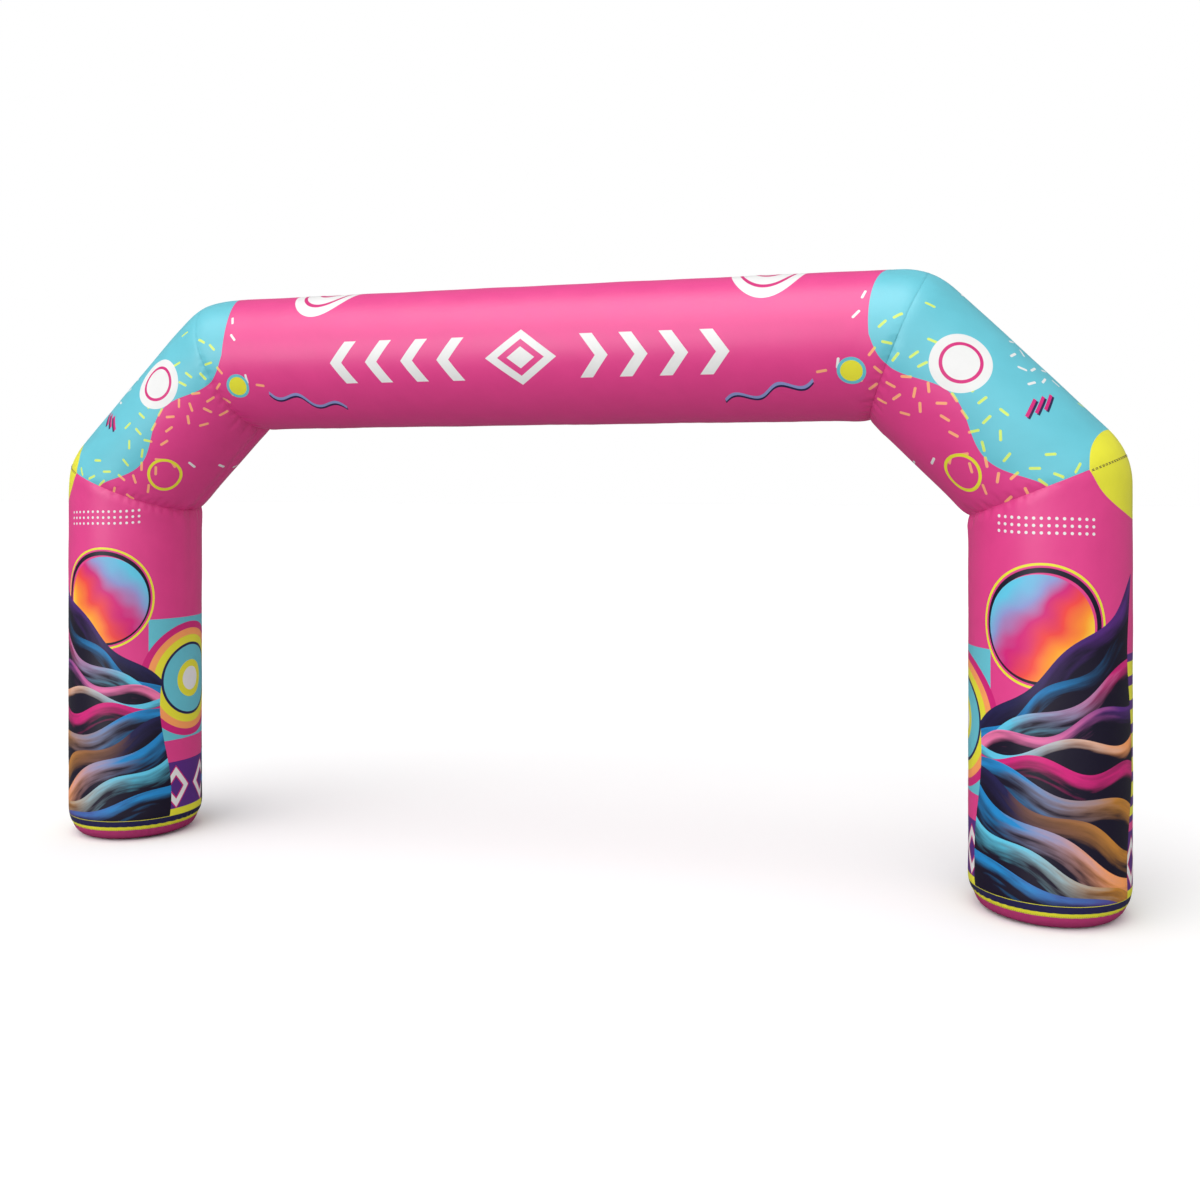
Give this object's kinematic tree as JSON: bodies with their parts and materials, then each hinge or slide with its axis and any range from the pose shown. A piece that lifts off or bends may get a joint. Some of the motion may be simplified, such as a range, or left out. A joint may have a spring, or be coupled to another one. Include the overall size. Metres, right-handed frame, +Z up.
{
  "type": "inflatable arch",
  "caption": "Free-standing inflatable arch of round pressurised cloth tubes, with upright legs, sloping shoulders and a level beam, marking a start, finish or entrance.",
  "frame": {"origin": "on the ground, midway between the two legs and in the plane of their axes", "axes": "+X along the arch's width, +Z up, and the front faces -Y"},
  "size_m": [6, 0.76, 3.165],
  "materials": {
    "beam_cloth": "satin printed polyester",
    "shoulder_cloth": "satin printed polyester",
    "leg_cloth": "satin printed polyester",
    "cap_cloth": "satin polyester"
  },
  "bodies": {
    "root": {"beam": "beam_cloth", "shoulder_left": "shoulder_cloth", "shoulder_right": "shoulder_cloth", "leg_left": "leg_cloth", "leg_right": "leg_cloth", "base_cap_left": "cap_cloth", "base_cap_right": "cap_cloth"}
  },
  "joints": []
}
